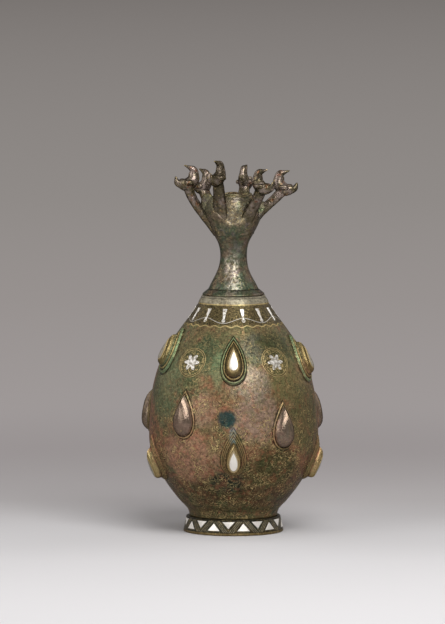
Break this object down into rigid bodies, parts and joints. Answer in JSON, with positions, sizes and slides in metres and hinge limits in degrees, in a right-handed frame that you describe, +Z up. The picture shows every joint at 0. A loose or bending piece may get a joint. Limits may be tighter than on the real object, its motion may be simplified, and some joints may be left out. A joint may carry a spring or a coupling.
{
  "type": "rose-water sprinkler bottle",
  "caption": "Pear-shaped cast bronze rose-water sprinkler with drop-shaped bosses and silver inlay, a flared foot and a pierced cup ringed by birds on arms.",
  "frame": {"origin": "on the axis of the bottle, in the plane that the foot stands on", "axes": "+Z up along the axis; -Y is the front, towards the viewer of the picture; +X is right"},
  "size_m": [0.1134, 0.1167, 0.2328],
  "materials": {
    "patinated_bronze": "cast bronze with a mottled green and red-brown patina, worn to gold on edges",
    "dark_bronze": "cast bronze with a dark brown patina, worn on edges",
    "silver_inlay": "hammered sheet silver, softly polished"
  },
  "bodies": {
    "root": {"body_shell": "patinated_bronze", "neck": "patinated_bronze", "foot_ring": "patinated_bronze", "base_plate": "dark_bronze", "strainer": "dark_bronze", "bird_finial_1": "dark_bronze", "bird_finial_2": "dark_bronze", "bird_finial_3": "dark_bronze", "bird_finial_4": "dark_bronze", "bird_finial_5": "dark_bronze", "bird_finial_6": "dark_bronze", "boss_drop_upper_1": "silver_inlay", "boss_drop_upper_2": "silver_inlay", "boss_drop_upper_3": "silver_inlay", "boss_drop_upper_4": "silver_inlay", "boss_drop_upper_5": "silver_inlay", "boss_drop_lower_1": "silver_inlay", "boss_drop_lower_2": "silver_inlay", "boss_drop_lower_3": "silver_inlay", "boss_drop_lower_4": "silver_inlay", "boss_drop_lower_5": "silver_inlay", "roundel_rosette_1": "silver_inlay", "roundel_rosette_2": "silver_inlay", "roundel_rosette_3": "silver_inlay", "roundel_rosette_4": "silver_inlay", "roundel_rosette_5": "silver_inlay", "shoulder_dart_01": "silver_inlay", "shoulder_dart_02": "silver_inlay", "shoulder_dart_03": "silver_inlay", "shoulder_dart_04": "silver_inlay", "shoulder_dart_05": "silver_inlay", "shoulder_dart_06": "silver_inlay", "shoulder_dart_07": "silver_inlay", "shoulder_dart_08": "silver_inlay", "shoulder_dart_09": "silver_inlay", "shoulder_dart_10": "silver_inlay", "shoulder_dart_11": "silver_inlay", "shoulder_dart_12": "silver_inlay", "shoulder_dart_13": "silver_inlay", "shoulder_dart_14": "silver_inlay", "foot_triangle_up_01": "silver_inlay", "foot_triangle_up_02": "silver_inlay", "foot_triangle_up_03": "silver_inlay", "foot_triangle_up_04": "silver_inlay", "foot_triangle_up_05": "silver_inlay", "foot_triangle_up_06": "silver_inlay", "foot_triangle_up_07": "silver_inlay", "foot_triangle_up_08": "silver_inlay", "foot_triangle_up_09": "silver_inlay", "foot_triangle_up_10": "silver_inlay", "foot_triangle_down_01": "silver_inlay", "foot_triangle_down_02": "silver_inlay", "foot_triangle_down_03": "silver_inlay", "foot_triangle_down_04": "silver_inlay", "foot_triangle_down_05": "silver_inlay", "foot_triangle_down_06": "silver_inlay", "foot_triangle_down_07": "silver_inlay", "foot_triangle_down_08": "silver_inlay", "foot_triangle_down_09": "silver_inlay", "foot_triangle_down_10": "silver_inlay"}
  },
  "joints": []
}
